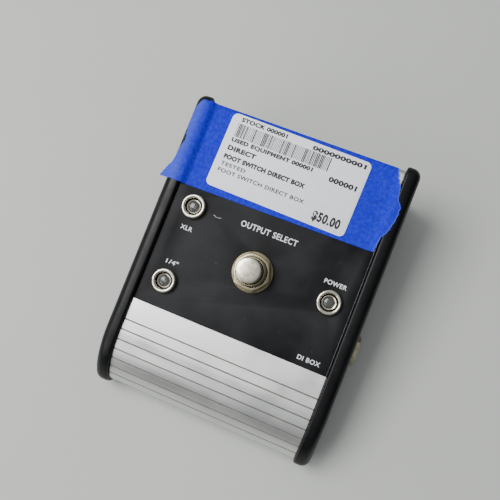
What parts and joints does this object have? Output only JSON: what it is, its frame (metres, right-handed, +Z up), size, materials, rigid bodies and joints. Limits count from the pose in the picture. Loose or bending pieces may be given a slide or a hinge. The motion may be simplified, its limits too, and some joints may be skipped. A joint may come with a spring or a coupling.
{
  "type": "direct injection box",
  "caption": "Wedge-shaped direct box with foot switch, indicator lamps, ribbed nose, moulded end cheeks, XLR and jack sockets, and a taped-on price label.",
  "frame": {"origin": "middle of the floor under the box, at the bottom centre of its bounding box", "axes": "+Z up, -Y towards the player and the ribbed nose, +Y to the rear connectors, +X to the player's right"},
  "size_m": [0.0992, 0.1242, 0.0467],
  "materials": {
    "brushed_aluminium": "satin, brushed lengthwise",
    "black_print": "satin black print",
    "black_moulding": "satin moulded",
    "black_steel": "powder coated",
    "nickel": "nickel plated",
    "chrome": "polished",
    "zinc_screw": "black zinc",
    "rubber": "matt",
    "clear_lamp": "clear epoxy",
    "board": "solder resist",
    "core_steel": "laminated",
    "copper": "enamelled wire under tape",
    "spring_steel": "bright",
    "chip_black": "moulded",
    "switch_blue": "moulded",
    "ribbon_grey": "satin",
    "gold_contact": "plated",
    "white_nub": "moulded",
    "blue_tape": "creped, matt",
    "paper_label": "thermal paper"
  },
  "bodies": {
    "case": {"amplifier_chip": "chip_black", "board_screw_1": "zinc_screw", "board_screw_2": "zinc_screw", "bottom_plate": "black_steel", "bottom_screw_1": "zinc_screw", "bottom_screw_2": "zinc_screw", "bottom_screw_3": "zinc_screw", "bottom_screw_4": "zinc_screw", "case_skin": "brushed_aluminium", "cheek_screw_front_left": "zinc_screw", "cheek_screw_front_right": "zinc_screw", "cheek_screw_rear_left": "zinc_screw", "cheek_screw_rear_right": "zinc_screw", "circuit_board": "board", "deck_panel": "black_print", "filter_capacitor": "black_moulding", "foot_front_left": "rubber", "foot_front_right": "rubber", "foot_rear_left": "rubber", "foot_rear_right": "rubber", "foot_switch_back_nut": "nickel", "foot_switch_body": "switch_blue", "foot_switch_bushing": "nickel", "foot_switch_nut": "nickel", "foot_switch_spring": "spring_steel", "foot_switch_terminals": "gold_contact", "foot_switch_washer": "nickel", "ground_lift_body": "black_steel", "input_jack_body": "chip_black", "input_jack_bushing": "nickel", "input_jack_nut": "nickel", "lamp_bezel_jack": "chrome", "lamp_bezel_nut_jack": "nickel", "lamp_bezel_nut_power": "nickel", "lamp_bezel_nut_xlr": "nickel", "lamp_bezel_power": "chrome", "lamp_bezel_xlr": "chrome", "lamp_jack": "clear_lamp", "lamp_power": "clear_lamp", "lamp_xlr": "clear_lamp", "left_cheek": "black_moulding", "masking_tape": "blue_tape", "output_jack_body": "chip_black", "output_jack_bushing": "nickel", "output_jack_nut": "nickel", "output_jack_washer": "nickel", "power_inlet_body": "black_moulding", "power_inlet_pin": "nickel", "price_label": "paper_label", "right_cheek": "black_moulding", "switch_ribbon": "ribbon_grey", "transformer_core": "core_steel", "transformer_winding": "copper", "voltage_regulator": "chip_black", "xlr_insert": "black_moulding", "xlr_screw_lower": "zinc_screw", "xlr_screw_upper": "zinc_screw", "xlr_shell": "black_steel"},
    "foot_switch_button": {"foot_switch_cap": "nickel"},
    "ground_lift_knob": {"ground_lift_slider": "white_nub"}
  },
  "joints": [
    {"name": "foot_switch_press", "type": "slide", "parent": "case", "child": "foot_switch_button", "axis": [0, 0.165, -0.9863], "range_m": [0, 0.003], "stiffness_N_per_m": 3000, "springref_m": -0.001, "deforming": ["foot_switch_spring"]},
    {"name": "ground_lift_slide", "type": "slide", "parent": "case", "child": "ground_lift_knob", "axis": [1, 0, 0], "range_m": [0, 0.003]}
  ]
}
